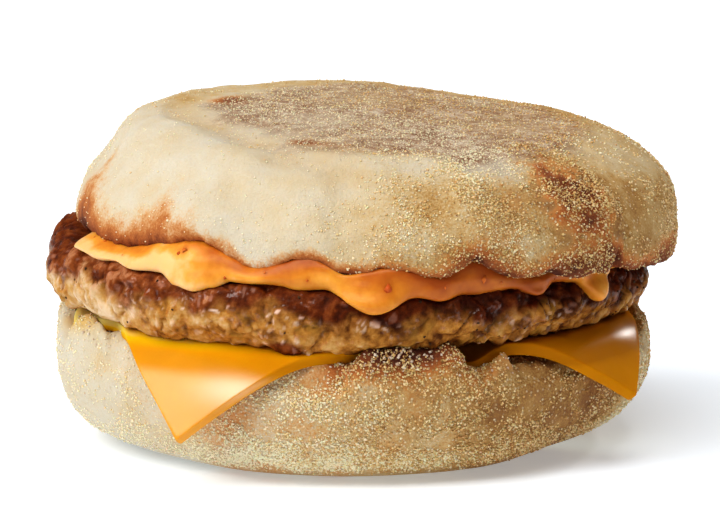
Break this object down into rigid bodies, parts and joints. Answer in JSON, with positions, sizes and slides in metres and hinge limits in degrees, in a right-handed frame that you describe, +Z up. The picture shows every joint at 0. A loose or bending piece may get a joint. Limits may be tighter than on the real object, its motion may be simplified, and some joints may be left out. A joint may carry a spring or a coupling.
{
  "type": "breakfast sandwich",
  "caption": "Round split muffin closed over a browned sausage patty, an orange chilli sauce that drips at the edge and a cheese slice whose corners hang over the lower half.",
  "frame": {"origin": "middle of the flat underside of the lower half, on the surface that the sandwich stands on", "axes": "+Z up, -Y towards the side that the picture shows, +X to the right in the picture"},
  "size_m": [0.1028, 0.1007, 0.0546],
  "materials": {
    "muffin": "matt cream muffin crust with toasted brown patches and pale cornmeal grains",
    "cheese": "smooth, softly glossy orange-yellow cheese",
    "sausage": "lumpy seared ground meat, dark brown to tan, wet with fat",
    "sauce": "glossy opaque orange sauce with fine red chilli flecks"
  },
  "bodies": {
    "root": {"muffin_heel": "muffin", "cheese_slice": "cheese", "sausage_patty": "sausage", "sauce": "sauce", "muffin_crown": "muffin"}
  },
  "joints": []
}
